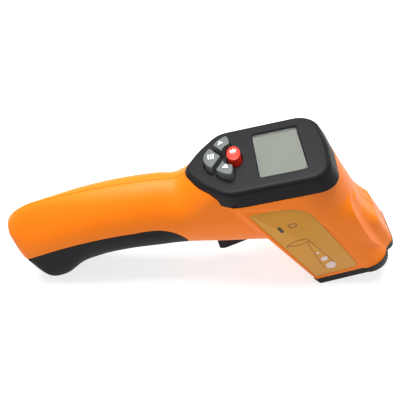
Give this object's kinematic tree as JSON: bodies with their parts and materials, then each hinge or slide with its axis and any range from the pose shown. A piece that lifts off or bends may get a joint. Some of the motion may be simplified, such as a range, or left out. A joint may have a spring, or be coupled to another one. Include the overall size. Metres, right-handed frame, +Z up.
{
  "type": "infrared thermometer",
  "caption": "Pistol-shaped infrared thermometer: black display hood with keys, laser ridge, finger trigger under the barrel, hinged battery door under the handle.",
  "frame": {"origin": "on the table, midway along and across the object's bounding box", "axes": "+Z up from the table the object rests on with the toe of its handle and the lower edge of its nose; +X from the handle's butt to the nose; +Y to the left flank, seen from behind"},
  "size_m": [0.1995, 0.0494, 0.0749],
  "materials": {
    "casing": "satin-gloss orange ABS",
    "grip": "black, soft-touch",
    "cover": "black, fine grain",
    "hood": "black, fine grain",
    "window": "clear hard-coated lens",
    "lcd": "grey-green display glass",
    "backlight": "white light guide",
    "grey_key": "grey, white printed symbols",
    "red_key": "red, white printed symbol",
    "membrane": "red silicone rubber",
    "board": "green glass-epoxy board",
    "screw": "zinc plated",
    "black_part": "black moulding",
    "trigger": "black, fine grain",
    "steel_pin": "ground steel pin",
    "plunger": "red nylon",
    "spring": "music wire",
    "battery": "plain metal jacket",
    "lead_red": "red PVC",
    "lead_black": "black PVC",
    "ribbon": "polyimide film",
    "tube": "black moulding",
    "ir_lens": "milky infrared plastic",
    "ring": "turned ring",
    "sensor": "metal can",
    "laser": "turned brass barrel",
    "laser_lens": "clear lens",
    "label": "mustard film"
  },
  "bodies": {
    "casing": {"casing_left": "casing", "casing_right": "casing", "front_cover": "cover", "display_hood": "hood", "display_window": "window", "lcd_glass": "lcd", "backlight": "backlight", "key_membrane": "membrane", "main_board": "board", "sensor_board": "board", "board_screws": "screw", "case_screws": "screw", "buzzer": "black_part", "trigger_pin": "steel_pin", "trigger_switch": "black_part", "switch_plunger": "plunger", "trigger_spring": "spring", "door_hinge_pin": "steel_pin", "battery": "battery", "battery_snap": "black_part", "lead_red": "lead_red", "lead_black": "lead_black", "sensor_ribbon": "ribbon", "optics_tube": "tube", "ir_lens": "ir_lens", "lens_ring": "ring", "ir_sensor": "sensor", "laser_module": "laser", "laser_lens": "laser_lens", "label_left": "label", "label_right": "label"},
    "battery_door": {"battery_door": "grip"},
    "trigger": {"trigger": "trigger"},
    "set_key": {"key_set": "grey_key"},
    "up_key": {"key_up": "grey_key"},
    "down_key": {"key_down": "grey_key"},
    "mode_key": {"key_mode": "red_key"}
  },
  "joints": [
    {"name": "trigger_pull", "type": "hinge", "parent": "casing", "child": "trigger", "pos_m": [0.0245, 0, 0.0225], "axis": [0, 1, 0], "range_deg": [0, 8], "stiffness_Nm_per_rad": 0.1, "springref_deg": -17.19, "deforming": ["trigger_spring"]},
    {"name": "door_swing", "type": "hinge", "parent": "casing", "child": "battery_door", "pos_m": [-0.08983, 0, 0.01858], "axis": [0, 1, 0], "range_deg": [0, 75]},
    {"name": "set_press", "type": "slide", "parent": "casing", "child": "set_key", "axis": [0.2199, 0, -0.9755], "range_m": [0, 0.0009], "stiffness_N_per_m": 1500, "springref_m": -0.0006},
    {"name": "up_press", "type": "slide", "parent": "casing", "child": "up_key", "axis": [0.2199, 0, -0.9755], "range_m": [0, 0.0009], "stiffness_N_per_m": 1500, "springref_m": -0.0006},
    {"name": "down_press", "type": "slide", "parent": "casing", "child": "down_key", "axis": [0.2199, 0, -0.9755], "range_m": [0, 0.0009], "stiffness_N_per_m": 1500, "springref_m": -0.0006},
    {"name": "mode_press", "type": "slide", "parent": "casing", "child": "mode_key", "axis": [0.2199, 0, -0.9755], "range_m": [0, 0.0009], "stiffness_N_per_m": 1500, "springref_m": -0.0006}
  ]
}
